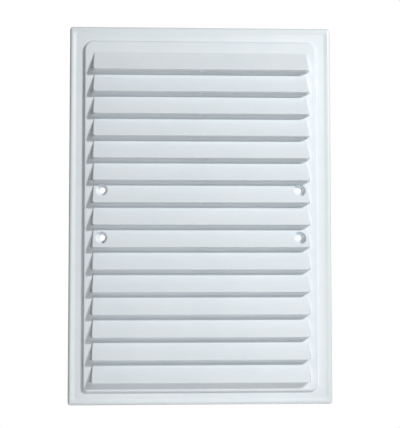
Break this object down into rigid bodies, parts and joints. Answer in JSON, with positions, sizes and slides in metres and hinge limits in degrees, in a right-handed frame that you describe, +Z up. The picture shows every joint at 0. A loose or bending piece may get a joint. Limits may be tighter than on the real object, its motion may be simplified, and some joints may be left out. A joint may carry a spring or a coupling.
{
  "type": "ventilation grille",
  "caption": "Rectangular one-piece plastic ventilation grille: a beaded flange round a raised panel of downward-opening wedge louvres, screwed flat to a wall over an air opening.",
  "frame": {"origin": "centre of the four screw holes, on the plane of the wall that the flange lies on", "axes": "+X to the right as seen from the front, +Z up along the long side, -Y out of the front"},
  "size_m": [0.167, 0.0112, 0.24],
  "materials": {
    "white_plastic": "satin, as moulded"
  },
  "bodies": {
    "root": {"louvre_grille": "white_plastic"}
  },
  "joints": []
}
